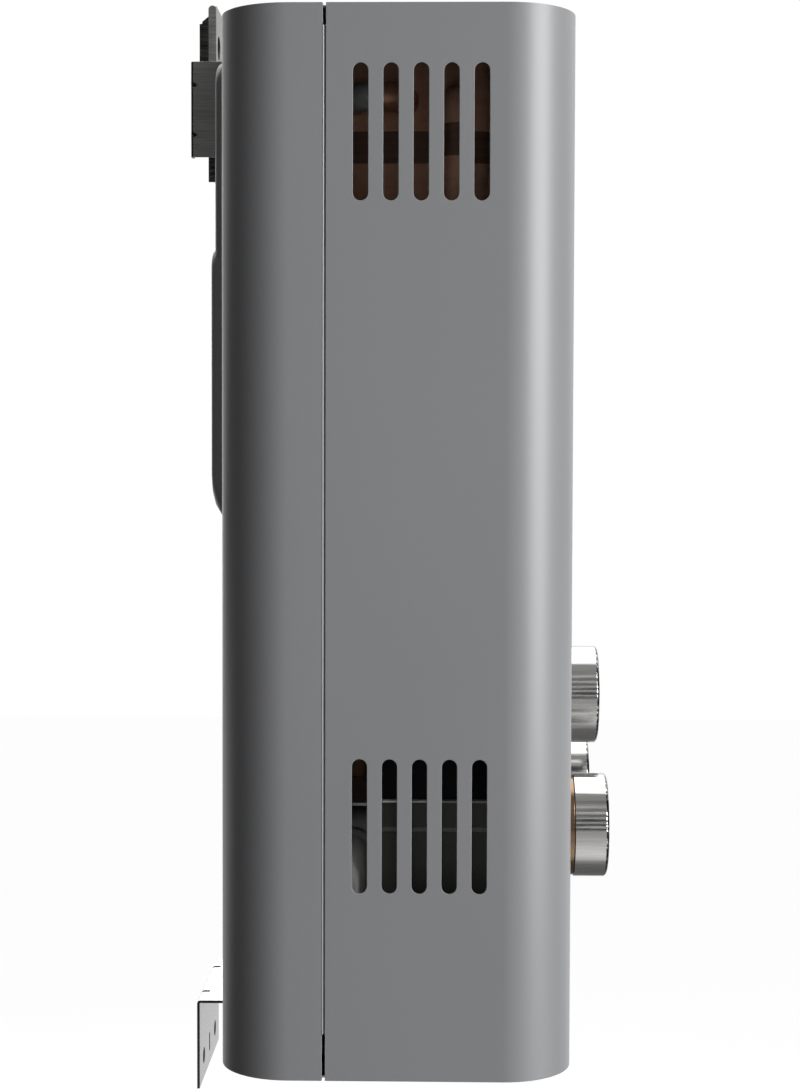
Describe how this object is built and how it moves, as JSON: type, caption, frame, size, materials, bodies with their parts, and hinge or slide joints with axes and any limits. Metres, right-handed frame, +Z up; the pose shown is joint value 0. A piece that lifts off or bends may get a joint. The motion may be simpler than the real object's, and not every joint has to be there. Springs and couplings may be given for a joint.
{
  "type": "gas water heater",
  "caption": "Wall-hung flueless instant gas water heater with brackets, turning control knobs and a battery lid.",
  "frame": {"origin": "on the wall plane, midway between the two hanging holes of the upper bracket", "axes": "+Z up, +X to the right of someone who faces the heater, +Y into the wall, front towards -Y"},
  "size_m": [0.29, 0.1829, 0.491],
  "materials": {
    "casing_paint": "satin grey paint",
    "zinc_sheet": "zinc-coated sheet",
    "copper": "dull copper",
    "brass": "machined brass",
    "cast_alloy": "die-cast aluminium",
    "burner_steel": "stainless sheet",
    "black_plastic": "matt black",
    "ceramic": "white ceramic",
    "knob_metal": "brushed along the axis",
    "rose_gold": "anodised rose gold",
    "dark_glass": "smoked sight glass",
    "lid_plastic": "satin grey"
  },
  "bodies": {
    "heater": {"front_cover": "casing_paint", "rear_casing": "casing_paint", "top_grille": "casing_paint", "bottom_plate": "zinc_sheet", "sight_window": "dark_glass", "wall_bracket": "zinc_sheet", "hanger_strip": "zinc_sheet", "lower_bracket": "zinc_sheet", "flue_hood": "zinc_sheet", "fin_block": "copper", "return_bend_left": "copper", "return_bend_right": "copper", "combustion_chamber": "copper", "chamber_stay": "zinc_sheet", "water_coil": "copper", "cold_feed": "copper", "cold_pipe": "copper", "hot_pipe": "copper", "burner_rack": "zinc_sheet", "burner_bar_1": "burner_steel", "burner_bar_2": "burner_steel", "burner_bar_3": "burner_steel", "burner_bar_4": "burner_steel", "burner_bar_5": "burner_steel", "burner_bar_6": "burner_steel", "gas_manifold": "cast_alloy", "gas_jets": "brass", "gas_riser": "cast_alloy", "selector_valve": "cast_alloy", "gas_link": "cast_alloy", "gas_valve": "cast_alloy", "solenoid": "black_plastic", "gas_pipe": "cast_alloy", "water_valve": "brass", "diaphragm_cover": "brass", "micro_switch": "black_plastic", "valve_shelf": "zinc_sheet", "igniter_box": "black_plastic", "spark_electrode": "ceramic", "flame_probe": "ceramic", "thermal_cutout": "black_plastic", "gas_inlet": "brass", "hot_outlet": "brass", "cold_inlet": "brass", "battery_box": "black_plastic", "lid_hinge": "zinc_sheet"},
    "gas_control": {"gas_knob": "knob_metal", "gas_knob_ring": "rose_gold", "gas_spindle": "cast_alloy"},
    "water_control": {"water_knob": "knob_metal", "water_knob_ring": "rose_gold", "water_spindle": "cast_alloy"},
    "season_control": {"season_knob": "knob_metal", "season_knob_ring": "rose_gold", "season_spindle": "cast_alloy"},
    "flow_rod": {"pushrod": "burner_steel"},
    "lid": {"battery_lid": "lid_plastic"}
  },
  "joints": [
    {"name": "gas_turn", "type": "hinge", "parent": "heater", "child": "gas_control", "pos_m": [-0.06, -0.174, -0.3473], "axis": [0, -1, 0], "range_deg": [0, 180]},
    {"name": "water_turn", "type": "hinge", "parent": "heater", "child": "water_control", "pos_m": [0.06, -0.174, -0.3473], "axis": [0, -1, 0], "range_deg": [0, 270]},
    {"name": "season_turn", "type": "hinge", "parent": "heater", "child": "season_control", "pos_m": [0, -0.174, -0.2965], "axis": [0, -1, 0], "range_deg": [0, 90]},
    {"name": "rod_slide", "type": "slide", "parent": "heater", "child": "flow_rod", "axis": [-1, 0, 0], "range_m": [0, 0.003], "stiffness_N_per_m": 300},
    {"name": "lid_swing", "type": "hinge", "parent": "heater", "child": "lid", "pos_m": [-0.006, -0.089, -0.4383], "axis": [1, 0, 0], "range_deg": [0, 100]}
  ]
}
